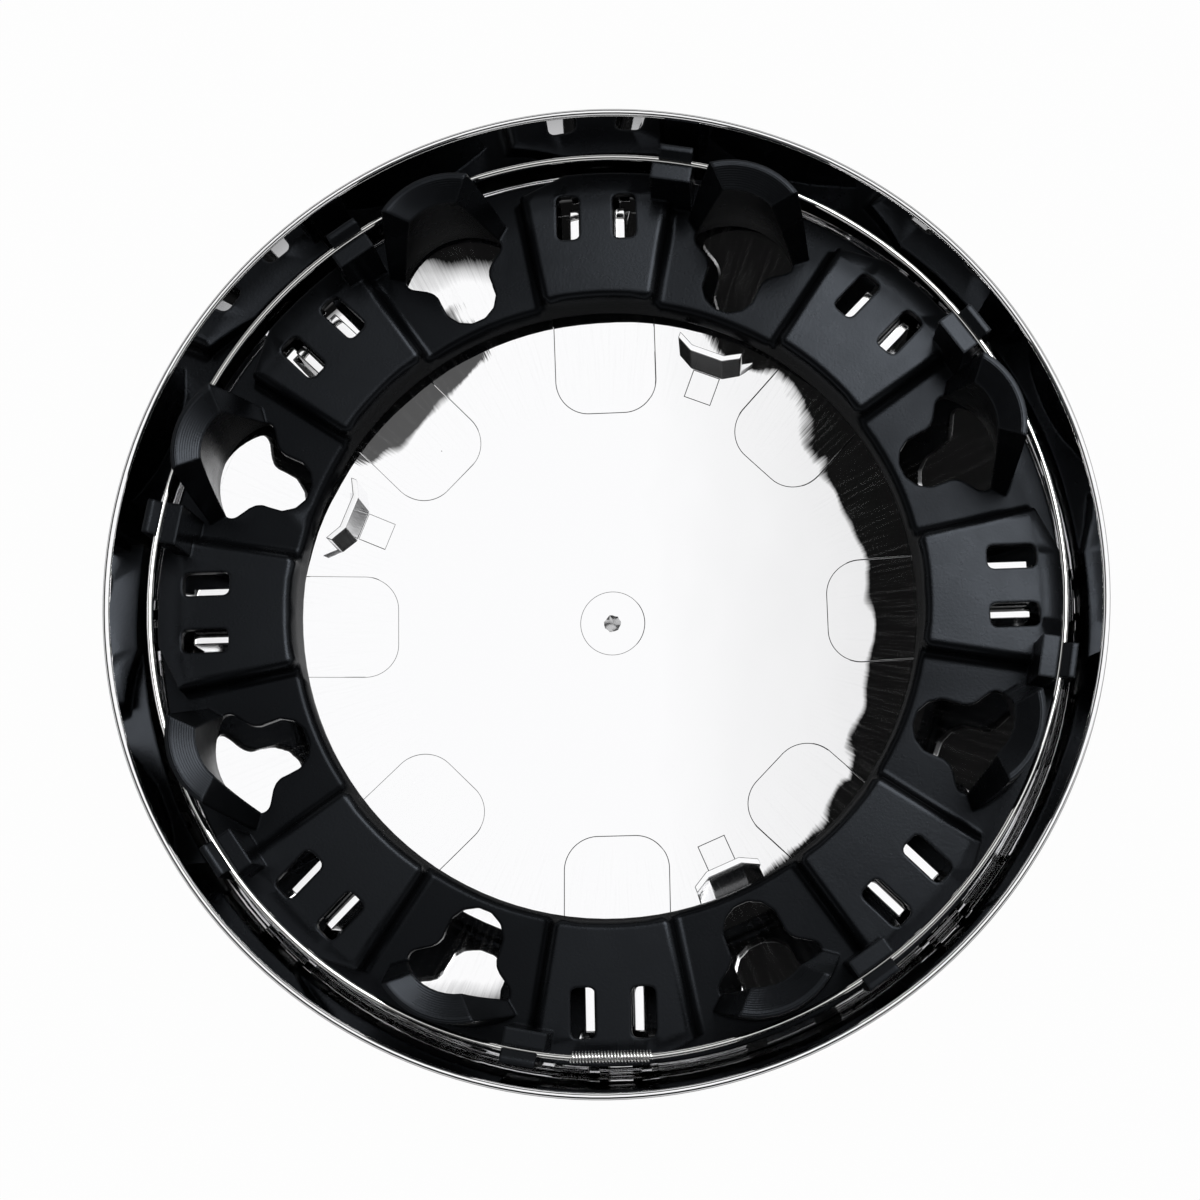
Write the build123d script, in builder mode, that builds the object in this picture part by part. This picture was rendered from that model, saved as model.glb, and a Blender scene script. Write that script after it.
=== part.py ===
from build123d import *
from math import asin, atan, atan2, ceil, cos, degrees, radians, sin, sqrt, tan
import os

os.makedirs("parts", exist_ok=True)

# Lug pattern
lug_count = 8
lug_circle_d = 170.0
lug_lobe_r = 6.9
lug_hole_r = 16.6
lug_hole_half_angle = 57.0
lug_ear_round = 2.4
lug_waist_round = 4.5

# Collar beside each lug hole
collar_rise = 27.8
collar_base_wall = 4.0
collar_top_in_r = 12.4
collar_top_out_r = 19.05
collar_base_half_angle = 52.0
collar_top_half_angle = 35.0
collar_land = 1.25
collar_lead_drop = 2.4

# Ring
ring_wall = 2.5
inner_margin = 3.3
inner_drop = 10.7
inner_draft = 6.8
inner_bevel = 1.6
lug_panel_drop = 4.9
panel_half_angle = 10.5
panel_round = 2.2
panel_fall = 1.5
panel_fall_run = 6.1
corner_cut_run = 4.4
corner_cut_angle = 4.0
ring_gap = 2.77

# Slots in the raised panels
slot_inset = 12.1
slot_spread = 13.92
slot_length = 11.5
slot_width = 5.7
slot_round = 1.4

# Wire and spring
wire_d = 1.5
wire_sides = 8
wire_rise = 12.85
wire_clearance = 0.65
wire_edge = 2.3
spring_length = 18.5
spring_wire_d = 0.7
tail_length = 7.0

# Wire clips
clip_angle = 11.0
clip_post_run = 4.05
clip_post_width = 9.8
clip_post_shift = 0.6
clip_width = 8.0
clip_wall = 2.15
clip_lip = 1.05
clip_lip_height = 0.7
clip_rise = 1.3
clip_crest = 1.4
clip_skin = 2.0
post_over_wire = 0.3

# Cap
cap_wall = 2.5
face_radius = 314.0
face_to_panel = 33.1
rim_rise = 22.4
rim_land = 1.6
skirt_flare = 4.4
corner_radius = 8.0
corner_chords = 3
gate_d = 4.7
gate_rise = 0.5

# Snap tabs on the cap and legs on the ring
tab_end_gap = 1.35
tab_length = 11.7
tab_drop = 5.5
tab_thickness = 2.5
leg_thickness = 1.8
leg_overlap = 0.3
leg_end_gap = 1.2
seat_rise = 0.9

# Locating walls on the face
guide_angles = (67.5, 157.5, -67.5)
guide_gap = 3.15
guide_half_width = 4.2
guide_wing_run = 2.15
guide_wing_width = 4.0
guide_wall = 1.6
guide_drop = 10.7

# How far cutting shapes run past what they cut, and how far a small round turns in one chord
overrun = 10.0
chord_turn = 30.0

# Heights above the outside of the face
slot_z = cap_wall + face_to_panel
lug_z = slot_z - lug_panel_drop
foot_z = slot_z - inner_drop
wire_z = slot_z + wire_rise
collar_z = slot_z + collar_rise
cap_depth = slot_z + rim_rise
tab_z = slot_z - tab_drop
guide_z = slot_z - guide_drop
panel_under_z = lug_z - ring_wall
face_centre_z = cap_wall + face_radius

# Radii, worked outwards from the lug circle
sector = 360.0 / lug_count
lug_r = lug_circle_d / 2
inner_foot_r = lug_r - lug_lobe_r - inner_margin
inner_lean = tan(radians(inner_draft))
inner_top_r = inner_foot_r + inner_lean * (slot_z - foot_z)
guide_r = inner_foot_r - guide_gap - guide_wing_run - guide_wall
collar_height = collar_z - panel_under_z
collar_base_r = lug_hole_r + collar_base_wall
wire_share = (wire_z - panel_under_z) / collar_height
collar_wire_r = collar_base_r + (collar_top_out_r - collar_base_r) * wire_share
wire_r = lug_r + collar_wire_r + wire_clearance + wire_d / 2
ring_outer_r = wire_r + wire_edge
slot_circle_r = ring_outer_r - slot_inset
flare = tan(radians(skirt_flare))
rim_inner_r = ring_outer_r + ring_gap + rim_rise * flare
rim_outer_r = rim_inner_r + rim_land


def sphere_meets_line(radius, r0, slope):
    a = 1 + slope**2
    b = 2 * (r0 * slope - face_centre_z)
    c = r0**2 + face_centre_z**2 - radius**2
    return (-b - sqrt(b**2 - 4 * a * c)) / (2 * a)


def rounded_corner(radius, r0, slope, round_r):
    # Points of the round between the dome and the skirt; the first runs on below the dome
    foot_r0 = r0 - round_r * sqrt(1 + slope**2)
    z = sphere_meets_line(radius - round_r, foot_r0, slope)
    r = foot_r0 + slope * z
    start = atan2(z - face_centre_z, r)
    step = (-atan(slope) - start) / corner_chords
    turn = [start + step * k for k in range(corner_chords + 1)]
    points = [(r + round_r * cos(t), z + round_r * sin(t)) for t in turn]
    points[0] = (2 * points[0][0] - points[1][0], 2 * points[0][1] - points[1][1])
    return points


def upright(angle):
    t = radians(angle)
    return Plane(origin=(0, 0, 0), x_dir=(cos(t), sin(t), 0), z_dir=(sin(t), -cos(t), 0))


# Skirt lines inside and outside
inner_r0 = rim_inner_r - cap_depth * flare
inner_corner_z = sphere_meets_line(face_radius, inner_r0, flare)
outer_foot_r = inner_r0 + inner_corner_z * flare + cap_wall / cos(radians(skirt_flare))
outer_slope = (rim_outer_r - outer_foot_r) / (cap_depth - inner_corner_z)
outer_r0 = rim_outer_r - cap_depth * outer_slope
inner_corner = rounded_corner(face_radius, inner_r0, flare, corner_radius)
outer_corner = rounded_corner(face_radius + cap_wall, outer_r0, outer_slope, corner_radius + cap_wall)

tab_outer_r = slot_circle_r + slot_length / 2 - tab_end_gap
tab_mid_r = tab_outer_r - tab_length / 2
leg_reach = (slot_spread - slot_width) / 2 + leg_overlap
tab_offset = leg_reach + tab_thickness / 2
seat_half = leg_reach + tab_thickness
seat_r = sqrt(tab_outer_r**2 + seat_half**2)
seat_z = face_centre_z - sqrt(face_radius**2 - seat_r**2) + seat_rise
guide_wing_half = guide_half_width + guide_wing_width

with BuildPart() as cap_hollow:
    # Room inside the cap: flared skirt and rounded corner, closed below by the dome
    with BuildSketch(Plane.XZ):
        with BuildLine():
            Polyline(
                (0, -overrun),
                (inner_corner[0][0], -overrun),
                *inner_corner,
                (rim_inner_r + overrun * flare, cap_depth + overrun),
                (0, cap_depth + overrun),
                close=True,
            )
        make_face()
    revolve(axis=Axis.Z)
    with Locations((0, 0, face_centre_z)):
        Sphere(face_radius, rotation=(90, 0, 0), mode=Mode.INTERSECT)
    # Tabs, seats, locating walls and gate stub stand in the room
    with BuildSketch():
        with PolarLocations(tab_mid_r, lug_count):
            with Locations((0, tab_offset), (0, -tab_offset)):
                Rectangle(tab_length, tab_thickness)
    extrude(amount=tab_z, mode=Mode.SUBTRACT)
    with BuildSketch():
        with PolarLocations(tab_mid_r, lug_count):
            Rectangle(tab_length, 2 * seat_half)
    extrude(amount=seat_z, mode=Mode.SUBTRACT)
    with BuildSketch():
        for angle in guide_angles:
            with Locations(Location((0, 0, 0), (0, 0, angle))):
                Polygon(
                    (guide_r + guide_wing_run, -guide_wing_half),
                    (guide_r + guide_wing_run + guide_wall, -guide_wing_half),
                    (guide_r + guide_wall, -guide_half_width),
                    (guide_r + guide_wall, guide_half_width),
                    (guide_r + guide_wing_run + guide_wall, guide_wing_half),
                    (guide_r + guide_wing_run, guide_wing_half),
                    (guide_r, guide_half_width),
                    (guide_r, -guide_half_width),
                    align=None,
                )
    extrude(amount=guide_z, mode=Mode.SUBTRACT)
    with BuildSketch():
        Circle(gate_d / 2)
    extrude(amount=cap_wall + gate_rise, mode=Mode.SUBTRACT)

with BuildPart() as chrome_cap:
    # Outside of the shell, then the room taken out of it
    with BuildSketch(Plane.XZ):
        with BuildLine():
            Polyline(
                (0, -overrun),
                (outer_corner[0][0], -overrun),
                *outer_corner,
                (rim_outer_r, cap_depth),
                (0, cap_depth),
                close=True,
            )
        make_face()
    revolve(axis=Axis.Z)
    with Locations((0, 0, face_centre_z)):
        Sphere(face_radius + cap_wall, rotation=(90, 0, 0), mode=Mode.INTERSECT)
    add(cap_hollow.part, mode=Mode.SUBTRACT)

chrome_cap.part.label = "chrome_cap"
export_step(chrome_cap.part, "parts/chrome_cap.step")

near_r = inner_foot_r - overrun
far_r = ring_outer_r + overrun
wedge_r = 2 * far_r
fall_r = ring_outer_r - panel_fall_run
core_half_angle = panel_half_angle - degrees(ring_wall / slot_circle_r)
pocket_half_angle = sector / 2 - panel_half_angle
channel_in_r = inner_foot_r + ring_wall * sqrt(1 + inner_lean**2)


def wedge(half_angle):
    across = wedge_r * tan(radians(half_angle))
    return [(0, 0), (wedge_r, -across), (wedge_r, across)]


# Line of the slanting cut across one outer corner of a raised panel
cut_start = Vector(ring_outer_r - corner_cut_run, 0).rotate(Axis.Z, panel_half_angle)
cut_end = Vector(ring_outer_r, 0).rotate(Axis.Z, corner_cut_angle)
cut_dir = (cut_end - cut_start).normalized()
cut_inward = Vector(cut_dir.Y, -cut_dir.X)
cut_back = cut_start - cut_dir * overrun
cut_past = cut_end + cut_dir * overrun
corner_wedge = [cut_back, cut_past, Vector(wedge_r, cut_back.Y)]
core_cut_wedge = [point + cut_inward * ring_wall for point in corner_wedge]

post_half = clip_post_width / 2 + clip_post_shift
post_out_r = sqrt((wire_r - wire_d / 2) ** 2 - post_half**2)
post_in_r = post_out_r - clip_post_run
hook_in_r = wire_r + wire_d / 2
hook_out_r = hook_in_r + clip_wall
floor_z = wire_z - wire_d / 2
post_z = wire_z + post_over_wire
hook_under_z = wire_z + wire_d / 2
hook_z = hook_under_z + clip_lip_height + clip_rise
clip_core_in_r = post_in_r + clip_skin
clip_core_z = floor_z - clip_skin

with BuildPart() as clip:
    # Post inside the wire, floor under it and hook over it
    with BuildSketch(Plane.XZ.offset(-clip_post_shift)):
        with Locations((post_in_r, panel_under_z)):
            Rectangle(clip_post_run, post_z - panel_under_z, align=Align.MIN)
    extrude(amount=clip_post_width / 2, both=True)
    with BuildSketch(Plane.XZ):
        with BuildLine():
            Polyline(
                (clip_core_in_r, panel_under_z),
                (clip_core_in_r, floor_z),
                (hook_in_r, floor_z),
                (hook_in_r, hook_under_z),
                (hook_in_r - clip_lip, hook_under_z),
                (hook_in_r - clip_lip, hook_under_z + clip_lip_height),
                (hook_out_r - clip_crest, hook_z),
                (hook_out_r, hook_z),
                (hook_out_r, panel_under_z),
                close=True,
            )
        make_face()
    extrude(amount=clip_width / 2, both=True)

lead_out_r = collar_top_out_r - collar_land
lead_share = collar_lead_drop / collar_height
lead_in_r = collar_top_in_r + (lug_hole_r - collar_top_in_r) * lead_share
end_turn = radians(collar_base_half_angle - collar_top_half_angle)
end_lean = collar_top_out_r * sin(end_turn) / collar_height
end_x = -sin(radians(collar_base_half_angle))
end_y = cos(radians(collar_base_half_angle))

with BuildPart() as collar:
    # Tapered half tube round the lug axis, cut back by a leaning plane at either end
    with BuildSketch(upright(-90)):
        with BuildLine():
            Polyline(
                (lug_hole_r, panel_under_z),
                (lead_in_r, collar_z - collar_lead_drop),
                (lead_out_r, collar_z),
                (collar_top_out_r, collar_z),
                (collar_base_r, panel_under_z),
                close=True,
            )
        make_face()
    revolve(axis=Axis.Z, revolution_arc=180)
    split(bisect_by=Plane((0, 0, panel_under_z), z_dir=(end_x, end_y, end_lean)), keep=Keep.BOTTOM)
    split(bisect_by=Plane((0, 0, panel_under_z), z_dir=(end_x, -end_y, end_lean)), keep=Keep.BOTTOM)


def small_rounds_chorded(outline):
    # The same outline, with every round smaller than a lug hole drawn in chords
    with BuildSketch() as chorded:
        with BuildLine():
            for edge in outline.edges():
                if edge.geom_type == GeomType.CIRCLE and edge.radius < lug_hole_r:
                    chords = ceil(edge.length / edge.radius / radians(chord_turn))
                    Polyline(*[edge @ (k / chords) for k in range(chords + 1)])
                else:
                    add(edge)
        make_face()
    return chorded.sketch


with BuildSketch() as lug_hole:
    with BuildLine():
        hole_arc = CenterArc((0, 0), lug_hole_r, -lug_hole_half_angle, 2 * lug_hole_half_angle)
        Line((0, 0), hole_arc @ 0)
        Line((0, 0), hole_arc @ 1)
    make_face()
    Circle(lug_lobe_r)
    fillet(lug_hole.vertices().group_by(Axis.X)[0], lug_waist_round)
    fillet(lug_hole.vertices().group_by(Axis.X)[-1], lug_ear_round)

with BuildSketch() as slot:
    RectangleRounded(slot_length, slot_width, slot_round)

lug_hole_outline = small_rounds_chorded(lug_hole.sketch)
slot_outline = small_rounds_chorded(slot.sketch)

leg_length = tab_length - 2 * leg_end_gap
leg_offset = leg_reach - leg_thickness / 2

with BuildPart() as retainer_ring:
    # Wide plate, lowered between the raised panels and rounded at the top and foot of every step
    with BuildSketch(Plane.XY.offset(foot_z)):
        Circle(far_r)
        Circle(near_r, mode=Mode.SUBTRACT)
    extrude(amount=slot_z - foot_z)
    with BuildSketch(Plane.XY.offset(lug_z)):
        with PolarLocations(0, lug_count, start_angle=sector / 2):
            Polygon(*wedge(pocket_half_angle), align=None)
    extrude(amount=slot_z - lug_z, mode=Mode.SUBTRACT)
    steps = retainer_ring.edges().filter_by(GeomType.LINE).filter_by(Plane.XY)
    fillet(steps, panel_round)
    # Plate trimmed to the turned outside of the ring
    with BuildSketch(Plane.XZ):
        with BuildLine():
            Polyline(
                (inner_foot_r, foot_z),
                (inner_top_r, slot_z),
                (fall_r, slot_z),
                (ring_outer_r, slot_z - panel_fall),
                (ring_outer_r, foot_z),
                close=True,
            )
        make_face()
    revolve(axis=Axis.Z, mode=Mode.INTERSECT)
    # Bevelled shoulder all along the top of the inner wall
    inner_wall = retainer_ring.faces().filter_by(GeomType.CONE).sort_by(SortBy.AREA)[-1]
    shoulder = inner_wall.edges().filter_by(lambda edge: edge.center().Z > lug_z - panel_round)
    chamfer(shoulder, inner_bevel)
    # Slanting cut across one outer corner of every raised panel
    with BuildSketch(Plane.XY.offset(lug_z)):
        with PolarLocations(0, lug_count):
            Polygon(*corner_wedge, align=None)
    extrude(amount=slot_z - lug_z, mode=Mode.SUBTRACT)
    # Channel underneath, deeper below the raised panels
    with BuildSketch(Plane.XZ):
        with BuildLine():
            Polyline(
                (channel_in_r, foot_z),
                (channel_in_r + inner_lean * (panel_under_z - foot_z), panel_under_z),
                (ring_outer_r - ring_wall, panel_under_z),
                (ring_outer_r - ring_wall, foot_z),
                close=True,
            )
        make_face()
    revolve(axis=Axis.Z, mode=Mode.SUBTRACT)
    with BuildSketch(Plane.XY.offset(panel_under_z)):
        with PolarLocations(0, lug_count):
            Polygon(*wedge(core_half_angle), align=None)
        with PolarLocations(0, lug_count):
            Polygon(*core_cut_wedge, align=None, mode=Mode.SUBTRACT)
        Circle(ring_outer_r - ring_wall, mode=Mode.INTERSECT)
        Circle(inner_top_r + ring_wall, mode=Mode.SUBTRACT)
    extrude(amount=slot_z - ring_wall - panel_under_z, mode=Mode.SUBTRACT)
    # Wire clips, cored from below
    with PolarLocations(0, lug_count, start_angle=-clip_angle):
        add(clip.part)
    with PolarLocations(0, lug_count, start_angle=-clip_angle):
        with Locations((clip_core_in_r, 0, foot_z)):
            Box(
                hook_in_r - clip_core_in_r,
                clip_width - 2 * clip_skin,
                clip_core_z - foot_z,
                align=(Align.MIN, Align.CENTER, Align.MIN),
                mode=Mode.SUBTRACT,
            )
    # Lug holes, each with a collar standing on its outer edge
    with BuildSketch(Plane.XY.offset(foot_z)):
        with PolarLocations(lug_r, lug_count, start_angle=sector / 2):
            add(lug_hole_outline)
    extrude(amount=lug_z - foot_z + overrun, mode=Mode.SUBTRACT)
    with PolarLocations(lug_r, lug_count, start_angle=sector / 2):
        add(collar.part)
    # Slots in the raised panels
    with BuildSketch(Plane.XY.offset(slot_z)):
        with PolarLocations(slot_circle_r, lug_count):
            with Locations((0, slot_spread / 2), (0, -slot_spread / 2)):
                add(slot_outline)
    extrude(amount=overrun, both=True, mode=Mode.SUBTRACT)
    # Legs that stand on the seats between the tabs
    with BuildSketch(Plane.XY.offset(seat_z)):
        with PolarLocations(tab_mid_r, lug_count):
            with Locations((0, leg_offset), (0, -leg_offset)):
                Rectangle(leg_length, leg_thickness)
    extrude(amount=slot_z - ring_wall - seat_z)

retainer_ring.part.label = "retainer_ring"
export_step(retainer_ring.part, "parts/retainer_ring.step")

spring_half_angle = degrees(asin(spring_length / 2 / wire_r))
spring_y = -wire_r * cos(radians(spring_half_angle))

with BuildPart() as wire_ring:
    # Open hoop
    with BuildSketch(upright(spring_half_angle - 90)):
        with Locations((wire_r, wire_z)):
            RegularPolygon(wire_d / 2, wire_sides)
    revolve(axis=Axis.Z, revolution_arc=360 - 2 * spring_half_angle)
    # Straight tails inside the spring
    with BuildSketch(Plane.YZ.offset(spring_length / 2)):
        with Locations((spring_y, wire_z)):
            RegularPolygon(wire_d / 2, wire_sides)
    extrude(amount=-tail_length)
    with BuildSketch(Plane.YZ.offset(-spring_length / 2)):
        with Locations((spring_y, wire_z)):
            RegularPolygon(wire_d / 2, wire_sides)
    extrude(amount=tail_length)

wire_ring.part.label = "wire_ring"
export_step(wire_ring.part, "parts/wire_ring.step")

with BuildPart() as joining_spring:
    # Close-wound sleeve round the tails
    with BuildSketch(Plane.YZ.offset(-spring_length / 2)):
        with Locations((spring_y, wire_z)):
            Circle(wire_d / 2 + spring_wire_d)
            Circle(wire_d / 2, mode=Mode.SUBTRACT)
    extrude(amount=spring_length)

joining_spring.part.label = "joining_spring"
export_step(joining_spring.part, "parts/joining_spring.step")
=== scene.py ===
import math
import random

import bmesh
import bpy
from mathutils import Matrix, Vector
from mathutils.geometry import intersect_line_sphere


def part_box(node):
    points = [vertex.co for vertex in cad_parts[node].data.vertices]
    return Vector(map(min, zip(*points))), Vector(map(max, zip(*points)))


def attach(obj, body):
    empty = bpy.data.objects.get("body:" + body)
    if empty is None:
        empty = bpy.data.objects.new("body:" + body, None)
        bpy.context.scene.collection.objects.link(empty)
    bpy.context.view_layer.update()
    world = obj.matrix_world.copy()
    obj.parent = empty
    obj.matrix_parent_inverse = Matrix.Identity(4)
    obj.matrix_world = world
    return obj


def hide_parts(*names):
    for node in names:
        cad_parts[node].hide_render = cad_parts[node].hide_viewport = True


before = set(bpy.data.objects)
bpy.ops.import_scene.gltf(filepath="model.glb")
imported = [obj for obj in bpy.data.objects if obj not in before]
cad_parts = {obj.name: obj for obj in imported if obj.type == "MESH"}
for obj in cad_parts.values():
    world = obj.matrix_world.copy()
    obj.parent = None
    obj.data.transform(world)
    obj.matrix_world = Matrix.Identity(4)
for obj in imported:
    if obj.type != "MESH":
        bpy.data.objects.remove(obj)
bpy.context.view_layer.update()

# Chrome cap: a shallow dish with a flared skirt, moulded in ABS and plated with bright nickel and
# chrome. It lies on its domed face. Pairs of tabs hold the black ring and three walls centre it.
cap_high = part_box("chrome_cap")[1]
cap_depth = cap_high.z
cap_wall = 0.0025
rim_land = 0.0016
rim_edge = 0.00072
skirt_hold = 0.0012
skirt_slope = math.tan(math.radians(4.4))
dome_r = 0.314
dome_centre = Vector((0, 0, cap_wall + dome_r))
corner_r = 0.008
dome_steps = 40
corner_steps = 10
turn_steps = 192
merge_gap = 1e-6
same_r = 1e-5
lug_count = 8
tab_mid_r = 0.09486
tab_length = 0.0117
tab_width = 0.0025
tab_offset = 0.00566
tab_top = 0.0301
seat_width = 0.01382
seat_top = 0.02007
block_edge = 0.0003
guide_angles = (67.5, 157.5, -67.5)
guide_top = 0.0249
guide_edge = 0.00022
guide_outline = [
    (0.07005, -0.0082), (0.07165, -0.0082), (0.0695, -0.0042), (0.0695, 0.0042),
    (0.07165, 0.0082), (0.07005, 0.0082), (0.0679, 0.0042), (0.0679, -0.0042),
]
gate_r = 0.00235
gate_top = 0.003
gate_break = 0.00045
gate_sides = 9
gate_torn_in = 0.84
gate_foot = 0.00253
rim_in = Vector((cap_high.x - rim_land, 0, cap_depth))
rim_out = Vector((cap_high.x, 0, cap_depth))


def first_hit(start, end, ball_r):
    # Where a line going down from the rim first meets a ball about the dome's centre
    return [p for p in intersect_line_sphere(start, end, dome_centre, ball_r) if p][0]


def skirt_corner(ball_r, top, foot, round_r):
    # Centre and two ends of the round between the dome and a straight skirt
    outward = Vector((top.z - foot.z, 0, foot.x - top.x)).normalized()
    shift = outward * -round_r
    centre = first_hit(top + shift, foot + shift, ball_r - round_r)
    on_dome = dome_centre + (centre - dome_centre).normalized() * ball_r
    return centre, on_dome, centre + outward * round_r


def turn_to(bm, tip, centre, end, steps):
    # Draws an arc from the tip of a section to a point, by spinning the tip about a centre
    angle = (tip.co - centre).angle(end - centre)
    spun = bmesh.ops.spin(bm, geom=[tip], cent=centre, axis=(0, 1, 0), angle=-angle, steps=steps)
    return spun["geom_last"][0]


shell = bmesh.new()
foot_in = rim_in - Vector((skirt_slope * cap_depth, 0, cap_depth))
centre, on_dome, on_skirt = skirt_corner(dome_r, rim_in, foot_in, corner_r)
tip_in = turn_to(shell, shell.verts.new((0, 0, cap_wall)), dome_centre, on_dome, dome_steps)
tip_in = turn_to(shell, tip_in, centre, on_skirt, corner_steps)
wall_out = first_hit(rim_in, foot_in, dome_r) + Vector((cap_wall * math.hypot(1, skirt_slope), 0, 0))
foot_out = rim_out + (wall_out - rim_out) * (cap_depth / (cap_depth - wall_out.z))
centre, on_dome, on_skirt = skirt_corner(dome_r + cap_wall, rim_out, foot_out, corner_r + cap_wall)
tip_out = turn_to(shell, shell.verts.new((0, 0, 0)), dome_centre, on_dome, dome_steps)
tip_out = turn_to(shell, tip_out, centre, on_skirt, corner_steps)
down_in = (foot_in - rim_in).normalized() * skirt_hold
down_out = (foot_out - rim_out).normalized() * skirt_hold
way = [tip_in]
for point in (
    tip_in.co - down_in, rim_in + down_in, rim_in, rim_out, rim_out + down_out, tip_out.co - down_out,
):
    way.append(shell.verts.new(point))
way.append(tip_out)
for pair in zip(way, way[1:]):
    shell.edges.new(pair)
bmesh.ops.spin(
    shell, geom=shell.verts[:] + shell.edges[:], cent=(0, 0, 0), axis=(0, 0, 1),
    angle=math.tau, steps=turn_steps, use_merge=True,
)
bmesh.ops.remove_doubles(shell, verts=shell.verts, dist=merge_gap)
rim_edges = [e for e in shell.edges if all(abs(v.co.z - cap_depth) < merge_gap for v in e.verts)]
rim_edges = [e for e in rim_edges if abs(e.verts[0].co.xy.length - e.verts[1].co.xy.length) < same_r]
bmesh.ops.bevel(
    shell, geom=rim_edges, offset=rim_edge, affect="EDGES", segments=5, profile=0.5, material=-1,
)
bmesh.ops.recalc_face_normals(shell, faces=shell.faces)


def stand_on_dome(bm, verts, edge_round):
    # Lets the foot of a block follow the dome inside its wall, then softens the edges of the block
    middle = sum(v.co.z for v in verts) / len(verts)
    for vert in verts:
        if vert.co.z < middle:
            vert.co.z = dome_centre.z - math.sqrt(dome_r**2 - vert.co.xy.length_squared) - cap_wall / 2
    edges = list({e for v in verts for e in v.link_edges})
    bmesh.ops.bevel(
        bm, geom=edges, offset=edge_round, affect="EDGES", segments=2, profile=0.5, material=-1,
    )


for k in range(lug_count):
    turn = Matrix.Rotation(math.tau * k / lug_count, 4, "Z")
    blocks = [(side * tab_offset, tab_width, tab_top) for side in (-1, 1)]
    blocks.append((0, seat_width, seat_top))
    for across, width, top in blocks:
        place = turn @ Matrix.Translation((tab_mid_r, across, top / 2))
        stretch = Matrix.Diagonal((tab_length, width, top, 1))
        made = bmesh.ops.create_cube(shell, size=1, matrix=place @ stretch)
        stand_on_dome(shell, made["verts"], block_edge)
for angle in guide_angles:
    turn = Matrix.Rotation(math.radians(angle), 3, "Z")
    corners = [shell.verts.new(turn @ Vector((x, y, 0))) for x, y in guide_outline]
    grown = bmesh.ops.extrude_face_region(shell, geom=[shell.faces.new(corners)])
    raised = [v for v in grown["geom"] if isinstance(v, bmesh.types.BMVert)]
    bmesh.ops.translate(shell, verts=raised, vec=(0, 0, guide_top))
    block = set(corners + raised)
    bmesh.ops.recalc_face_normals(shell, faces=[f for f in shell.faces if block.issuperset(f.verts)])
    stand_on_dome(shell, corners + raised, guide_edge)

# Stub of the broken-off gate, with a torn top
tear = random.Random(5)
stub = bmesh.ops.create_circle(
    shell, cap_ends=True, cap_tris=True, segments=gate_sides, radius=gate_r,
    matrix=Matrix.Translation((0, 0, gate_top)),
)
bmesh.ops.subdivide_edges(
    shell, edges=list({e for v in stub["verts"] for e in v.link_edges}), cuts=1, use_grid_fill=True,
)
torn = [v for v in shell.verts if abs(v.co.z - gate_top) < merge_gap and v.co.xy.length < 2 * gate_r]
for vert in torn:
    vert.co.xy *= tear.uniform(gate_torn_in, 1)
    vert.co.z -= tear.uniform(0, gate_break)
stub_rim = [e for e in {e for v in torn for e in v.link_edges} if e.is_boundary]
grown = bmesh.ops.extrude_edge_only(shell, edges=stub_rim)["geom"]
for vert in [g for g in grown if isinstance(g, bmesh.types.BMVert)]:
    vert.co.z = cap_wall / 2
foot_edges = [g for g in grown if isinstance(g, bmesh.types.BMEdge) and g.is_boundary]
stub_foot = bmesh.ops.contextual_create(shell, geom=foot_edges)
stub_faces = {f for v in torn for f in v.link_faces} | set(stub_foot["faces"])
bmesh.ops.recalc_face_normals(shell, faces=list(stub_faces))


def linear(hex_colour):
    parts = [int(hex_colour[i:i + 2], 16) / 255 for i in (1, 3, 5)]
    return [c / 12.92 if c <= 0.04045 else ((c + 0.055) / 1.055) ** 2.4 for c in parts] + [1]


def add_node(tree, kind, inputs=None, **settings):
    made = tree.nodes.new(kind)
    for name, value in settings.items():
        setattr(made, name, value)
    for key, value in (inputs or {}).items():
        if isinstance(value, bpy.types.NodeSocket):
            tree.links.new(value, made.inputs[key])
        else:
            made.inputs[key].default_value = value
    return made


def new_material(name):
    material = bpy.data.materials.new(name)
    material.use_nodes = True
    material.node_tree.nodes.clear()
    return material, material.node_tree


def show_piece(name, bm, material, node, sharp_angle, soft_edges=()):
    # Makes the piece, shades it, and lets it stand for its CAD node
    for face in bm.faces:
        face.smooth = True
    for edge in bm.edges:
        edge.smooth = edge in soft_edges or edge.calc_face_angle(0) < math.radians(sharp_angle)
    mesh = bpy.data.meshes.new(name)
    bm.to_mesh(mesh)
    bm.free()
    mesh.materials.append(material)
    piece = bpy.data.objects.new(name, mesh)
    bpy.context.scene.collection.objects.link(piece)
    steady = piece.modifiers.new("steady normals", "WEIGHTED_NORMAL")
    steady.keep_sharp = True
    steady.weight = 85
    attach(piece, "root")
    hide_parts(node)
    return piece


# Bright chrome plate on ABS: a slightly wavy mirror with a faint haze of fine scratches. The mould's
# eight lifters and its gate disc have left hairlines, whose cores are painted dark as shade in the grooves,
# and its upright walls are drawn and duller.
chrome, tree = new_material("bright chrome plate")
pad_start = 0.05413
pad_half = 0.01291
pad_round = 0.00836
pad_ramp = 0.003
pad_rise = 0.000012
hairline = 0.00015
shaded_core_width = 0.00008
hairline_depth = 0.00002
witness_r = 0.0642
witness_half = 0.0035
gate_disc_r = 0.00815
ripple_size = 0.03
ripple_height = 0.00034
scratch_length = 0.014
scratch_count = 560
scratch_height = 0.0000035
scratch_from = 0.052
scratch_full = 0.068
draw_line = 0.0006
draw_height = 0.000005
wall_r = 0.1035
dust_spacing = 0.022
dust_r = 0.00016
draw_stretch = 0.04
wall_dull = 0.12
torn_rough = 0.28
torn_grey = 0.4
streak_faint = 0.03
streak_strong = 0.4
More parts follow.
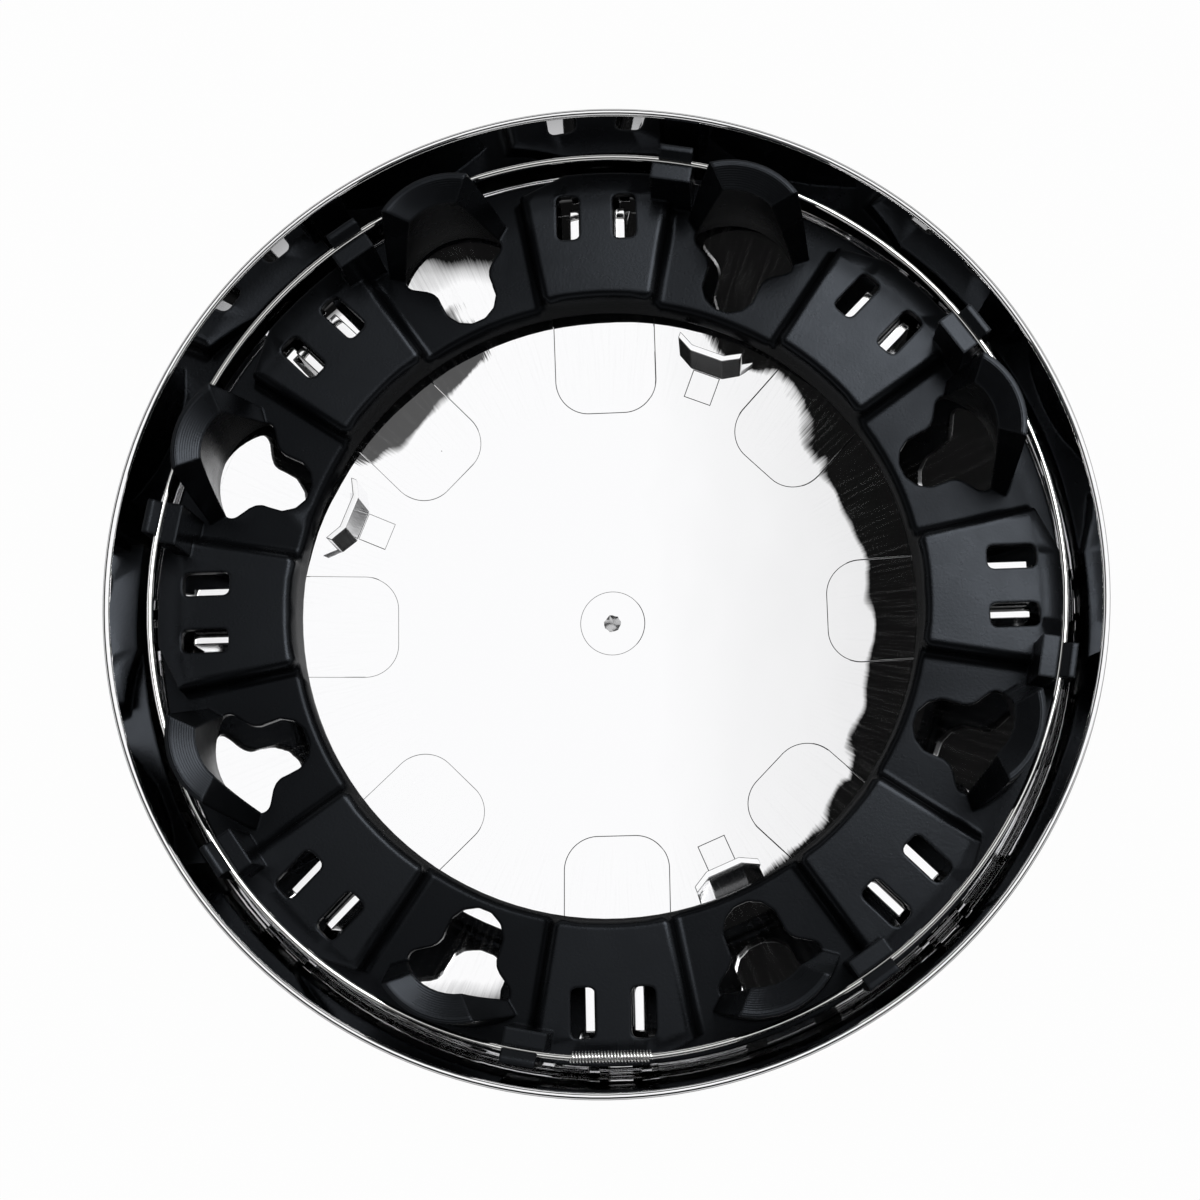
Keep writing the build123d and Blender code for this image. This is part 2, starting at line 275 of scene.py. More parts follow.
place = add_node(tree, "ShaderNodeTexCoord").outputs["Object"]
axes = add_node(tree, "ShaderNodeSeparateXYZ", {0: place}).outputs
flat = add_node(tree, "ShaderNodeCombineXYZ", {0: axes[0], 1: axes[1]}).outputs[0]
out_r = add_node(tree, "ShaderNodeVectorMath", {0: flat}, operation="LENGTH").outputs["Value"]
bearing = add_node(tree, "ShaderNodeMath", {0: axes[1], 1: axes[0]}, operation="ARCTAN2").outputs[0]
fold = add_node(tree, "ShaderNodeMath", {0: bearing, 1: math.pi / lug_count}, operation="ADD").outputs[0]
fold = add_node(
    tree, "ShaderNodeMath", {0: fold, 1: math.tau / lug_count}, operation="FLOORED_MODULO",
).outputs[0]
fold = add_node(tree, "ShaderNodeMath", {0: fold, 1: math.pi / lug_count}, operation="SUBTRACT").outputs[0]
cosine = add_node(tree, "ShaderNodeMath", {0: fold}, operation="COSINE").outputs[0]
sine = add_node(tree, "ShaderNodeMath", {0: fold}, operation="SINE").outputs[0]
along = add_node(tree, "ShaderNodeMath", {0: out_r, 1: cosine}, operation="MULTIPLY").outputs[0]
across = add_node(tree, "ShaderNodeMath", {0: out_r, 1: sine}, operation="MULTIPLY").outputs[0]
across = add_node(tree, "ShaderNodeMath", {0: across}, operation="ABSOLUTE").outputs[0]
past_end = add_node(
    tree, "ShaderNodeMath", {0: pad_start + pad_round, 1: along}, operation="SUBTRACT",
).outputs[0]
past_side = add_node(
    tree, "ShaderNodeMath", {0: across, 1: pad_half - pad_round}, operation="SUBTRACT",
).outputs[0]
past = add_node(tree, "ShaderNodeCombineXYZ", {0: past_end, 1: past_side}).outputs[0]
past = add_node(tree, "ShaderNodeVectorMath", {0: past, 1: (0, 0, 0)}, operation="MAXIMUM").outputs[0]
outside = add_node(tree, "ShaderNodeVectorMath", {0: past}, operation="LENGTH").outputs["Value"]
deepest = add_node(tree, "ShaderNodeMath", {0: past_end, 1: past_side}, operation="MAXIMUM").outputs[0]
inside = add_node(tree, "ShaderNodeMath", {0: deepest, 1: 0.0}, operation="MINIMUM").outputs[0]
edge = add_node(tree, "ShaderNodeMath", {0: outside, 1: inside}, operation="ADD").outputs[0]
edge = add_node(tree, "ShaderNodeMath", {0: edge, 1: pad_round}, operation="SUBTRACT").outputs[0]
near_edge = add_node(tree, "ShaderNodeMath", {0: edge}, operation="ABSOLUTE").outputs[0]
on_skirt = add_node(tree, "ShaderNodeMath", {0: out_r, 1: wall_r}, operation="GREATER_THAN").outputs[0]
near_edge = add_node(tree, "ShaderNodeMath", {0: near_edge, 1: on_skirt}, operation="ADD").outputs[0]
disc_edge = add_node(tree, "ShaderNodeMath", {0: out_r, 1: gate_disc_r}, operation="SUBTRACT").outputs[0]
disc_edge = add_node(tree, "ShaderNodeMath", {0: disc_edge}, operation="ABSOLUTE").outputs[0]
near_edge = add_node(tree, "ShaderNodeMath", {0: near_edge, 1: disc_edge}, operation="MINIMUM").outputs[0]
for angle in guide_angles:
    spot = Matrix.Rotation(math.radians(angle), 3, "Z") @ Vector((witness_r, 0, 0))
    beside = add_node(
        tree, "ShaderNodeMapping",
        {"Vector": flat, "Location": spot, "Rotation": (0, 0, math.radians(angle))},
        vector_type="TEXTURE",
    ).outputs[0]
    beside = add_node(tree, "ShaderNodeVectorMath", {0: beside}, operation="ABSOLUTE").outputs[0]
    sides = add_node(tree, "ShaderNodeSeparateXYZ", {0: beside}).outputs
    square = add_node(tree, "ShaderNodeMath", {0: sides[0], 1: sides[1]}, operation="MAXIMUM").outputs[0]
    square = add_node(tree, "ShaderNodeMath", {0: square, 1: witness_half}, operation="SUBTRACT").outputs[0]
    square = add_node(tree, "ShaderNodeMath", {0: square}, operation="ABSOLUTE").outputs[0]
    near_edge = add_node(tree, "ShaderNodeMath", {0: near_edge, 1: square}, operation="MINIMUM").outputs[0]
groove = add_node(
    tree, "ShaderNodeMapRange", {0: near_edge, 1: 0.0, 2: hairline, 3: -hairline_depth, 4: 0.0},
).outputs[0]
on_pad = add_node(
    tree, "ShaderNodeMapRange", {0: edge, 1: -pad_ramp, 2: 0.0, 3: pad_rise, 4: 0.0},
    interpolation_type="SMOOTHSTEP",
).outputs[0]
ripple = add_node(
    tree, "ShaderNodeTexNoise",
    {"Vector": place, "Scale": 1 / ripple_size, "Detail": 2.0, "Roughness": 0.35},
).outputs[0]
ripple = add_node(tree, "ShaderNodeMath", {0: ripple, 1: ripple_height}, operation="MULTIPLY").outputs[0]
rubbed_out = add_node(
    tree, "ShaderNodeMath", {0: out_r, 1: 1 / scratch_length}, operation="MULTIPLY",
).outputs[0]
rubbed_round = add_node(
    tree, "ShaderNodeMath", {0: bearing, 1: scratch_count / math.tau}, operation="MULTIPLY",
).outputs[0]
rubbed = add_node(tree, "ShaderNodeCombineXYZ", {0: rubbed_out, 1: rubbed_round}).outputs[0]
rubbed = add_node(
    tree, "ShaderNodeTexNoise", {"Vector": rubbed, "Scale": 1.0, "Detail": 2.0, "Roughness": 0.45},
).outputs[0]
worn = add_node(
    tree, "ShaderNodeMapRange", {0: out_r, 1: scratch_from, 2: scratch_full, 3: 0.0, 4: 1.0},
).outputs[0]
within = add_node(tree, "ShaderNodeMath", {0: out_r, 1: wall_r}, operation="LESS_THAN").outputs[0]
worn = add_node(tree, "ShaderNodeMath", {0: worn, 1: within}, operation="MULTIPLY").outputs[0]
scratches = add_node(
    tree, "ShaderNodeMath", {0: rubbed, 1: scratch_height}, operation="MULTIPLY",
).outputs[0]
scratches = add_node(tree, "ShaderNodeMath", {0: scratches, 1: worn}, operation="MULTIPLY").outputs[0]
facing = add_node(tree, "ShaderNodeNewGeometry").outputs["Normal"]
steep = add_node(tree, "ShaderNodeSeparateXYZ", {0: facing}).outputs[2]
steep = add_node(tree, "ShaderNodeMath", {0: steep}, operation="ABSOLUTE").outputs[0]
steep = add_node(tree, "ShaderNodeMapRange", {0: steep, 1: 0.2, 2: 0.4, 3: 1.0, 4: 0.0}).outputs[0]
upright = add_node(tree, "ShaderNodeMath", {0: steep, 1: within}, operation="MULTIPLY").outputs[0]
drawn = add_node(tree, "ShaderNodeMapping", {"Vector": place, "Scale": (1, 1, draw_stretch)}).outputs[0]
drawn = add_node(
    tree, "ShaderNodeTexNoise", {"Vector": drawn, "Scale": 1 / draw_line, "Detail": 3.0},
).outputs[0]
drawn = add_node(tree, "ShaderNodeMath", {0: drawn, 1: draw_height}, operation="MULTIPLY").outputs[0]
drawn = add_node(tree, "ShaderNodeMath", {0: drawn, 1: upright}, operation="MULTIPLY").outputs[0]
height = add_node(tree, "ShaderNodeMath", {0: groove, 1: ripple}, operation="ADD").outputs[0]
for layer in (on_pad, scratches, drawn):
    height = add_node(tree, "ShaderNodeMath", {0: height, 1: layer}, operation="ADD").outputs[0]
relief = add_node(tree, "ShaderNodeBump", {"Height": height, "Distance": 1.0}).outputs[0]
haze = add_node(tree, "ShaderNodeMapRange", {0: rubbed, 1: 0.5, 2: 0.8, 3: 0.005, 4: 0.02}).outputs[0]
dull = add_node(tree, "ShaderNodeMath", {0: upright, 1: wall_dull}, operation="MULTIPLY").outputs[0]
torn_spot = add_node(tree, "ShaderNodeMath", {0: out_r, 1: gate_r}, operation="LESS_THAN").outputs[0]
proud = add_node(tree, "ShaderNodeMath", {0: axes[2], 1: gate_foot}, operation="GREATER_THAN").outputs[0]
torn_spot = add_node(tree, "ShaderNodeMath", {0: torn_spot, 1: proud}, operation="MULTIPLY").outputs[0]
rough_spot = add_node(
    tree, "ShaderNodeMath", {0: torn_spot, 1: torn_rough}, operation="MULTIPLY",
).outputs[0]
dull = add_node(tree, "ShaderNodeMath", {0: dull, 1: rough_spot}, operation="ADD").outputs[0]
haze = add_node(tree, "ShaderNodeMath", {0: haze, 1: dull}, operation="ADD").outputs[0]
speck = add_node(
    tree, "ShaderNodeTexVoronoi", {"Vector": place, "Scale": 1 / dust_spacing},
).outputs["Distance"]
speck = add_node(
    tree, "ShaderNodeMapRange",
    {0: speck, 1: 0.6 * dust_r / dust_spacing, 2: dust_r / dust_spacing, 3: 1.0, 4: 0.0},
).outputs[0]
speck = add_node(tree, "ShaderNodeMath", {0: speck, 1: within}, operation="MULTIPLY").outputs[0]
# Painted shade: the core of each hairline groove is coloured dark, standing for the shade inside the
# groove.
groove_shade = add_node(
    tree, "ShaderNodeMapRange", {0: near_edge, 1: 0.5 * shaded_core_width, 2: shaded_core_width, 3: 1.0, 4: 0.0},
).outputs[0]
specks_torn_and_groove_shade = add_node(tree, "ShaderNodeMath", {0: speck, 1: groove_shade}, operation="MAXIMUM").outputs[0]
grey_spot = add_node(tree, "ShaderNodeMath", {0: torn_spot, 1: torn_grey}, operation="MULTIPLY").outputs[0]
specks_torn_and_groove_shade = add_node(tree, "ShaderNodeMath", {0: specks_torn_and_groove_shade, 1: grey_spot}, operation="MAXIMUM").outputs[0]
shade = add_node(
    tree, "ShaderNodeMix", {0: specks_torn_and_groove_shade, 6: linear("#fbfbfc"), 7: linear("#141415")}, data_type="RGBA",
).outputs[2]
streaks = add_node(
    tree, "ShaderNodeMapRange", {0: rubbed, 1: 0.5, 2: 0.7, 3: streak_faint, 4: streak_strong},
).outputs[0]
streaks = add_node(tree, "ShaderNodeMath", {0: streaks, 1: worn}, operation="MULTIPLY").outputs[0]
plate = add_node(
    tree, "ShaderNodeBsdfPrincipled",
    {
        "Base Color": shade, "Metallic": 1.0, "Roughness": haze, "Normal": relief,
        "Coat Weight": streaks, "Coat Roughness": 0.33, "Coat IOR": 1.9,
    },
)
add_node(tree, "ShaderNodeOutputMaterial", {0: plate.outputs[0]})
show_piece("chrome_shell", shell, chrome, "chrome_cap", 30)

# Retainer ring: one moulding of black glass-filled nylon with raised slotted panels, keyhole lug
# holes, tall collars and wire clips. It snaps over the cap's tabs, and the mould has softened its edges.
ring = bmesh.new()
ring.from_mesh(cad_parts["retainer_ring"].data)
flat_angle = math.radians(0.6)
bmesh.ops.remove_doubles(ring, verts=ring.verts, dist=merge_gap)
bmesh.ops.dissolve_limit(ring, angle_limit=flat_angle, verts=ring.verts, edges=ring.edges)

# Rounds the small upright corners of slots and lug holes, which the solid draws in short chords
chord_cut = 0.0004
chord_turn = 0.2
corner_turn = 0.6
upright_share = 0.99
lug_wall_top = 0.037
chords = []
for edge in ring.edges:
    rise = edge.verts[0].co - edge.verts[1].co
    stands = abs(rise.z) > upright_share * rise.length and edge.verts[0].co.z < lug_wall_top
    if stands and chord_turn < edge.calc_face_angle(0) < corner_turn:
        chords.append(edge)
bmesh.ops.bevel(ring, geom=chords, offset=chord_cut, affect="EDGES", segments=2, profile=0.5, material=-1)

# The shoulder of the inner wall is shaded as one soft round
shoulder_r = 0.0780
shoulder_z = 0.0255
shoulder = set()
for edge in ring.edges:
    if all(v.co.xy.length < shoulder_r and v.co.z > shoulder_z for v in edge.verts):
        shoulder.add(edge)

# Satin black nylon: a dark moulding with a cool, slightly cloudy sheen and a fine grain, its sheen turned
# down on the low lug floors as painted shade. The lead-in of each collar shows the turned lines of its
# mould insert.
nylon, tree = new_material("satin black nylon")
cloud_size = 0.02
grain_size = 0.0006
grain_height = 0.00002
edge_round = 0.0009
floor_z = 0.0311
panel_z = 0.0345
lug_r = 0.085
turned_pitch = 0.0005
turned_height = 0.000012
turned_from = 0.0607
sheen_smooth = 0.22
sheen_rough = 0.34
shaded_floor_gloss = 0.26
panel_gloss = 0.5
place = add_node(tree, "ShaderNodeTexCoord").outputs["Object"]
cloud = add_node(
    tree, "ShaderNodeTexNoise", {"Vector": place, "Scale": 1 / cloud_size, "Detail": 5.0, "Roughness": 0.6},
).outputs[0]
sheen = add_node(
    tree, "ShaderNodeMapRange", {0: cloud, 1: 0.3, 2: 0.7, 3: sheen_smooth, 4: sheen_rough},
).outputs[0]
axes = add_node(tree, "ShaderNodeSeparateXYZ", {0: place}).outputs
# Painted shade: the sheen is turned down on the low lug floors among the collars, standing for the shade
# there.
gloss_with_floor_shade = add_node(
    tree, "ShaderNodeMapRange", {0: axes[2], 1: floor_z, 2: panel_z, 3: shaded_floor_gloss, 4: panel_gloss},
).outputs[0]
tint = add_node(
    tree, "ShaderNodeMix", {0: cloud, 6: linear("#030304"), 7: linear("#08090a")}, data_type="RGBA",
).outputs[2]
grain = add_node(
    tree, "ShaderNodeTexNoise", {"Vector": place, "Scale": 1 / grain_size, "Detail": 2.0},
).outputs[0]
grain = add_node(tree, "ShaderNodeMath", {0: grain, 1: grain_height}, operation="MULTIPLY").outputs[0]
flat = add_node(tree, "ShaderNodeCombineXYZ", {0: axes[0], 1: axes[1]}).outputs[0]
out_r = add_node(tree, "ShaderNodeVectorMath", {0: flat}, operation="LENGTH").outputs["Value"]
bearing = add_node(tree, "ShaderNodeMath", {0: axes[1], 1: axes[0]}, operation="ARCTAN2").outputs[0]
fold = add_node(
    tree, "ShaderNodeMath", {0: bearing, 1: math.tau / lug_count}, operation="FLOORED_MODULO",
).outputs[0]
fold = add_node(tree, "ShaderNodeMath", {0: fold, 1: math.pi / lug_count}, operation="SUBTRACT").outputs[0]
cosine = add_node(tree, "ShaderNodeMath", {0: fold}, operation="COSINE").outputs[0]
sine = add_node(tree, "ShaderNodeMath", {0: fold}, operation="SINE").outputs[0]
along = add_node(tree, "ShaderNodeMath", {0: out_r, 1: cosine}, operation="MULTIPLY").outputs[0]
across = add_node(tree, "ShaderNodeMath", {0: out_r, 1: sine}, operation="MULTIPLY").outputs[0]
from_lug = add_node(tree, "ShaderNodeCombineXYZ", {0: along, 1: across}).outputs[0]
from_lug = add_node(
    tree, "ShaderNodeVectorMath", {0: from_lug, 1: (lug_r, 0, 0)}, operation="DISTANCE",
).outputs["Value"]
turned = add_node(
    tree, "ShaderNodeMath", {0: from_lug, 1: math.tau / turned_pitch}, operation="MULTIPLY",
).outputs[0]
turned = add_node(tree, "ShaderNodeMath", {0: turned}, operation="SINE").outputs[0]
turned = add_node(tree, "ShaderNodeMath", {0: turned, 1: turned_height}, operation="MULTIPLY").outputs[0]
lead_in = add_node(
    tree, "ShaderNodeMath", {0: axes[2], 1: turned_from}, operation="GREATER_THAN",
).outputs[0]
turned = add_node(tree, "ShaderNodeMath", {0: turned, 1: lead_in}, operation="MULTIPLY").outputs[0]
height = add_node(tree, "ShaderNodeMath", {0: grain, 1: turned}, operation="ADD").outputs[0]
soft_edge = add_node(tree, "ShaderNodeBevel", {"Radius": edge_round}, samples=6).outputs[0]
relief = add_node(
    tree, "ShaderNodeBump", {"Height": height, "Distance": 1.0, "Normal": soft_edge},
).outputs[0]
moulding = add_node(
    tree, "ShaderNodeBsdfPrincipled",
    {
        "Base Color": tint, "Roughness": sheen, "IOR": 1.28, "Specular IOR Level": gloss_with_floor_shade,
        "Specular Tint": linear("#e3edfb"), "Normal": relief,
    },
)
add_node(tree, "ShaderNodeOutputMaterial", {0: moulding.outputs[0]})
lug_ring = show_piece("lug_ring", ring, nylon, "retainer_ring", 24, shoulder)

# Wire hoop: one length of drawn spring steel bent round the collars, held in eight clips. Its two
# straight ends meet inside the coil spring.
wire_low, wire_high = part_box("wire_ring")
wire_d = wire_high.z - wire_low.z
wire_z = (wire_high.z + wire_low.z) / 2
hoop_r = wire_high.x - wire_d / 2
spring_low, spring_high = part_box("joining_spring")
half_gap = spring_high.x
gap_angle = math.asin(half_gap / hoop_r)
tail = 0.007
wire_sides = 12
hoop_steps = 240
hoop = bmesh.new()
start = Matrix.Rotation(gap_angle - math.pi / 2, 4, "Z") @ Matrix.Translation((hoop_r, 0, wire_z))
bmesh.ops.create_circle(
    hoop, segments=wire_sides, radius=wire_d / 2, matrix=start @ Matrix.Rotation(math.pi / 2, 4, "X"),
)
ends = list(hoop.edges)
spun = bmesh.ops.spin(
    hoop, geom=hoop.verts[:] + hoop.edges[:], cent=(0, 0, 0), axis=(0, 0, 1),
    angle=math.tau - 2 * gap_angle, steps=hoop_steps,
)
far_ends = [e for e in spun["geom_last"] if isinstance(e, bmesh.types.BMEdge)]
for loop, side in ((ends, 1), (far_ends, -1)):
    grown = bmesh.ops.extrude_edge_only(hoop, edges=loop)["geom"]
    for vert in [g for g in grown if isinstance(g, bmesh.types.BMVert)]:
        vert.co.x = side * (half_gap - tail)
    bmesh.ops.contextual_create(hoop, geom=[e for e in grown if isinstance(e, bmesh.types.BMEdge)])
bmesh.ops.recalc_face_normals(hoop, faces=hoop.faces)

# Drawn spring steel: a hard bright glint along the wire, with small changes in its polish.
steel, tree = new_material("drawn spring steel")
polish_size = 0.003
place = add_node(tree, "ShaderNodeTexCoord").outputs["Object"]
drawn = add_node(
    tree, "ShaderNodeTexNoise", {"Vector": place, "Scale": 1 / polish_size, "Detail": 4.0},
).outputs[0]
bright = add_node(tree, "ShaderNodeMapRange", {0: drawn, 1: 0.3, 2: 0.7, 3: 0.05, 4: 0.1}).outputs[0]
wire_steel = add_node(
    tree, "ShaderNodeBsdfPrincipled",
    {"Base Color": linear("#dededc"), "Metallic": 1.0, "Roughness": bright},
)
add_node(tree, "ShaderNodeOutputMaterial", {0: wire_steel.outputs[0]})
wire_hoop = show_piece("wire_hoop", hoop, steel, "wire_ring", 50)

# Coil spring: one thin spring-steel wire wound closely into a tube. It is slid over the two wire ends
# and grips them, so that it draws the hoop in.
spring_z = (spring_low.z + spring_high.z) / 2
spring_y = (spring_low.y + spring_high.y) / 2
coil_wire = 0.00056
coil_r = (spring_high.z - spring_low.z) / 2 - coil_wire / 2
coils = 25
coil_steps = 18
coil_sides = 8
coil_run = spring_high.x - spring_low.x - coil_wire
coil = bmesh.new()
first = Matrix.Translation((spring_low.x + coil_wire / 2, spring_y, spring_z + coil_r))
bmesh.ops.create_circle(
    coil, segments=coil_sides, radius=coil_wire / 2, cap_ends=True,
    matrix=first @ Matrix.Rotation(math.pi / 2, 4, "X"),
)
bmesh.ops.spin(
    coil, geom=coil.faces[:] + coil.edges[:] + coil.verts[:], cent=(0, spring_y, spring_z), axis=(1, 0, 0),
    dvec=(coil_run / (coils * coil_steps), 0, 0), angle=math.tau * coils, steps=coils * coil_steps,
)
bmesh.ops.recalc_face_normals(coil, faces=coil.faces)
coil_spring = show_piece("coil_spring", coil, steel, "joining_spring", 50)

# Floor: a pale studio table top, one flat painted board on which the cap lies.
table_half = 3.0
table = bmesh.new()
bmesh.ops.create_grid(table, x_segments=1, y_segments=1, size=table_half)
table_mesh = bpy.data.meshes.new("table_top")
table.to_mesh(table_mesh)
table.free()
table_top = bpy.data.objects.new("table_top", table_mesh)
bpy.context.scene.collection.objects.link(table_top)

# Matt white paint: plain white to the eye. Mirrored in the chrome it is a painted glow, not lit paint: a
# painted shadow just under the cap's edge, a painted pool of light just beyond it, fading outwards, which
# shades the skirt.
white, tree = new_material("matt white paint with painted glow")
table_glow = 0.97
mirrored_shadow_level = 0.2
mirrored_light_level = 0.88
mirrored_far_level = 0.18
shade_r = cap_high.x - 0.01
glow_r = cap_high.x + 0.012
far_r = 0.22
place = add_node(tree, "ShaderNodeTexCoord").outputs["Object"]
out_r = add_node(tree, "ShaderNodeVectorMath", {0: place}, operation="LENGTH").outputs["Value"]
# Painted shadow and light: in mirrors the board is dark just under the cap's edge, brightest a little
# beyond it, and fainter further out.
near = add_node(
    tree, "ShaderNodeMapRange", {0: out_r, 1: shade_r, 2: glow_r, 3: mirrored_shadow_level, 4: mirrored_light_level},
).outputs[0]
far = add_node(
    tree, "ShaderNodeMapRange", {0: out_r, 1: glow_r, 2: far_r, 3: mirrored_light_level, 4: mirrored_far_level},
).outputs[0]
mirrored = add_node(tree, "ShaderNodeMath", {0: near, 1: far}, operation="MINIMUM").outputs[0]
seen = add_node(tree, "ShaderNodeLightPath").outputs
direct = add_node(
    tree, "ShaderNodeMath", {0: seen["Is Camera Ray"], 1: seen["Is Transmission Ray"]}, operation="MAXIMUM",
).outputs[0]
direct = add_node(tree, "ShaderNodeMath", {0: direct, 1: table_glow}, operation="MULTIPLY").outputs[0]
direct = add_node(
    tree, "ShaderNodeMath", {0: direct, 1: seen["Is Glossy Ray"]}, operation="MAXIMUM",
).outputs[0]
strength = add_node(tree, "ShaderNodeMix", {0: seen["Is Glossy Ray"], 2: 1.0, 3: mirrored}).outputs[0]
matt = add_node(tree, "ShaderNodeBsdfDiffuse", {"Color": linear("#f2f2f2")}).outputs[0]
glow = add_node(tree, "ShaderNodeEmission", {"Color": (1, 1, 1, 1), "Strength": strength}).outputs[0]
table_look = add_node(tree, "ShaderNodeMixShader", {0: direct, 1: matt, 2: glow}).outputs[0]
add_node(tree, "ShaderNodeOutputMaterial", {0: table_look})
table_mesh.materials.append(white)

# Studio: a wide round soft box overhead that runs on to the right, with a grey boom across its lower
# edge, in a dark room whose walls are pale low down and fade upwards. Matt surfaces get a plain fill.
studio = bpy.data.worlds.new("studio")
bpy.context.scene.world = studio
studio.use_nodes = True
tree = studio.node_tree
tree.nodes.clear()
light_end = 0.8
light_y = 0.17
light_half = 0.326
light_stretch = (1, 0.9, 1)
light_wide = 0.348
light_narrow = 0.25
wide_at = 0.1
narrow_from = 0.2
narrow_at = 0.45
light_edge = 0.003
soft_edge = 0.015
soft_from = -0.1
soft_full = 0.05
dim_left = 0.84
dim_from = -0.34
dim_to = -0.1
dark_room = 0.004
boom_start = Vector((0.1, -0.145, 0))
boom_end = Vector((0.209, -0.035, 0))
boom_half = 0.027
boom_grey = 0.085
wall_light = 0.8
wall_grey = 0.2
wall_low = 0.3
wall_high = 0.5
wall_end = 0.8
matt_fill = 0.6
heading = add_node(tree, "ShaderNodeTexCoord").outputs["Generated"]
level = add_node(tree, "ShaderNodeVectorMath", {0: heading, 1: (1, 1, 0)}, operation="MULTIPLY").outputs[0]
ways = add_node(tree, "ShaderNodeSeparateXYZ", {0: heading}).outputs
nearest = add_node(tree, "ShaderNodeClamp", {0: ways[0], 1: 0.0, 2: light_end}).outputs[0]
half = add_node(
    tree, "ShaderNodeMapRange", {0: nearest, 1: 0.0, 2: wide_at, 3: light_half, 4: light_wide},
).outputs[0]
taper = add_node(
    tree, "ShaderNodeMapRange", {0: nearest, 1: narrow_from, 2: narrow_at, 3: light_wide, 4: light_narrow},
).outputs[0]
half = add_node(tree, "ShaderNodeMath", {0: half, 1: taper}, operation="MINIMUM").outputs[0]
nearest = add_node(tree, "ShaderNodeCombineXYZ", {0: nearest, 1: light_y}).outputs[0]
from_light = add_node(tree, "ShaderNodeVectorMath", {0: level, 1: nearest}, operation="SUBTRACT").outputs[0]
from_light = add_node(
    tree, "ShaderNodeVectorMath", {0: from_light, 1: light_stretch}, operation="MULTIPLY",
).outputs[0]
from_light = add_node(tree, "ShaderNodeVectorMath", {0: from_light}, operation="LENGTH").outputs["Value"]
from_light = add_node(tree, "ShaderNodeMath", {0: from_light, 1: half}, operation="SUBTRACT").outputs[0]
soft = add_node(
    tree, "ShaderNodeMapRange", {0: ways[0], 1: soft_from, 2: soft_full, 3: light_edge, 4: soft_edge},
).outputs[0]
minus_soft = add_node(tree, "ShaderNodeMath", {0: soft, 1: -1.0}, operation="MULTIPLY").outputs[0]
panel = add_node(
    tree, "ShaderNodeMapRange", {0: from_light, 1: minus_soft, 2: soft, 3: 1.0, 4: 0.0},
).outputs[0]
boom_way = boom_end - boom_start
from_start = add_node(
    tree, "ShaderNodeVectorMath", {0: level, 1: boom_start}, operation="SUBTRACT",
).outputs[0]
share = add_node(
    tree, "ShaderNodeVectorMath", {0: from_start, 1: boom_way / boom_way.length_squared},
    operation="DOT_PRODUCT",
).outputs["Value"]
share = add_node(tree, "ShaderNodeClamp", {0: share}).outputs[0]
on_boom = add_node(tree, "ShaderNodeVectorMath", {0: boom_way, 3: share}, operation="SCALE").outputs[0]
from_boom = add_node(
    tree, "ShaderNodeVectorMath", {0: from_start, 1: on_boom}, operation="DISTANCE",
).outputs["Value"]
boom = add_node(
    tree, "ShaderNodeMapRange",
    {0: from_boom, 1: boom_half - light_edge, 2: boom_half + light_edge, 3: boom_grey, 4: 1.0},
).outputs[0]
falloff = add_node(
    tree, "ShaderNodeMapRange", {0: ways[0], 1: dim_from, 2: dim_to, 3: dim_left, 4: 1.0},
).outputs[0]
for shade in (boom, falloff):
    panel = add_node(tree, "ShaderNodeMath", {0: panel, 1: shade}, operation="MULTIPLY").outputs[0]
panel = add_node(tree, "ShaderNodeMath", {0: panel, 1: dark_room}, operation="ADD").outputs[0]
walls = add_node(
    tree, "ShaderNodeMapRange", {0: ways[2], 1: wall_low, 2: wall_high, 3: wall_light, 4: wall_grey},
).outputs[0]
above = add_node(
    tree, "ShaderNodeMapRange", {0: ways[2], 1: wall_high, 2: wall_end, 3: 0.0, 4: wall_grey},
).outputs[0]
walls = add_node(tree, "ShaderNodeMath", {0: walls, 1: above}, operation="SUBTRACT").outputs[0]
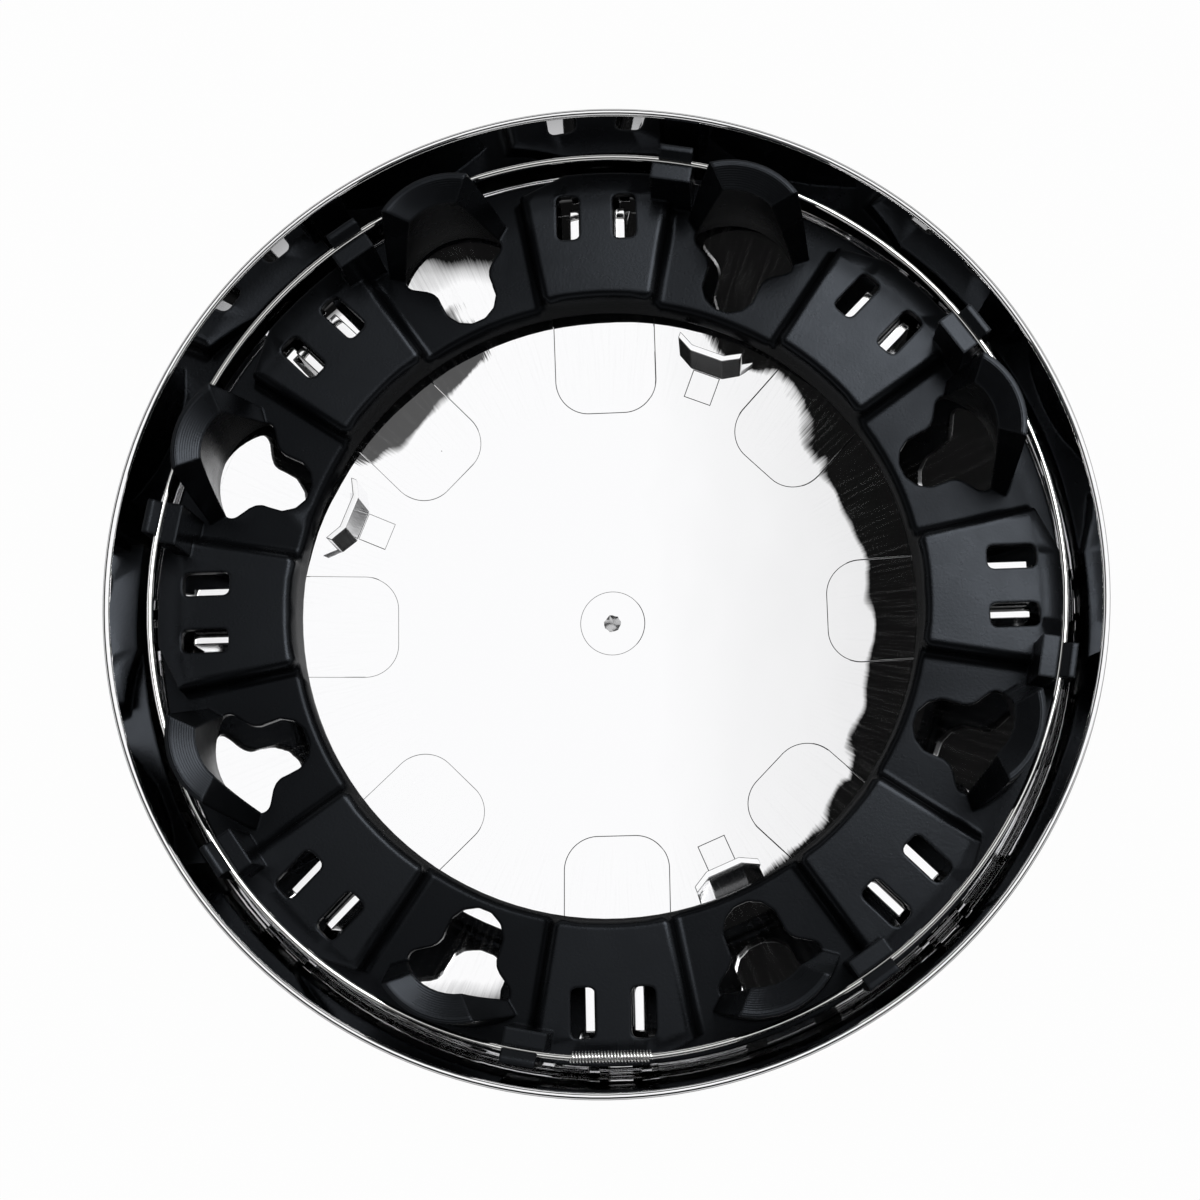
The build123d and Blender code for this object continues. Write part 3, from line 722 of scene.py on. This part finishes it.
mirrored = add_node(tree, "ShaderNodeMath", {0: panel, 1: walls}, operation="MAXIMUM").outputs[0]
seen = add_node(tree, "ShaderNodeLightPath").outputs
room = add_node(tree, "ShaderNodeMix", {0: seen["Is Glossy Ray"], 2: matt_fill, 3: mirrored}).outputs[0]
backdrop = add_node(
    tree, "ShaderNodeMath", {0: seen["Is Camera Ray"], 1: seen["Is Transmission Ray"]}, operation="MAXIMUM",
).outputs[0]
room = add_node(tree, "ShaderNodeMix", {0: backdrop, 2: room, 3: 1.0}).outputs[0]
sky = add_node(tree, "ShaderNodeBackground", {"Color": (1, 1, 1, 1), "Strength": room}).outputs[0]
add_node(tree, "ShaderNodeOutputWorld", {0: sky})

# Lamp: a round soft box up to the right that models the black nylon and the steel wire. It is linked
# to these pieces alone, so the chrome mirrors only the studio.
lamp_way = Vector((0.33, 0.36, 0.87))
lamp_distance = 1.3
key = bpy.data.lights.new("soft_box", "AREA")
key.shape = "DISK"
key.size = 0.8
key.energy = 15.0
key_lamp = bpy.data.objects.new("soft_box", key)
key_lamp.location = lamp_way * lamp_distance
key_lamp.rotation_mode = "QUATERNION"
key_lamp.rotation_quaternion = key_lamp.location.to_track_quat("Z", "Y")
bpy.context.scene.collection.objects.link(key_lamp)
lit_pieces = bpy.data.collections.new("lit_pieces")
for piece in (lug_ring, wire_hoop, coil_spring):
    lit_pieces.objects.link(piece)
key_lamp.light_linking.receiver_collection = lit_pieces

# Camera: above and a little in front of the open back, as in the photograph.
lens = bpy.data.cameras.new("camera")
lens.lens = 58.5
lens.sensor_width = 36
lens.clip_start = 0.01
camera = bpy.data.objects.new("camera", lens)
to_right = Vector((0.9975, -0.0211, -0.0671)).normalized()
to_back = Vector((0.0619, -0.1903, 0.9798)).normalized()
to_up = to_back.cross(to_right)
camera.matrix_world = Matrix((to_right, to_up, to_back)).transposed().to_4x4()
camera.location = (0.0277, -0.0885, 0.49)
bpy.context.scene.collection.objects.link(camera)
bpy.context.scene.camera = camera
bpy.context.scene.view_settings.view_transform = "Standard"
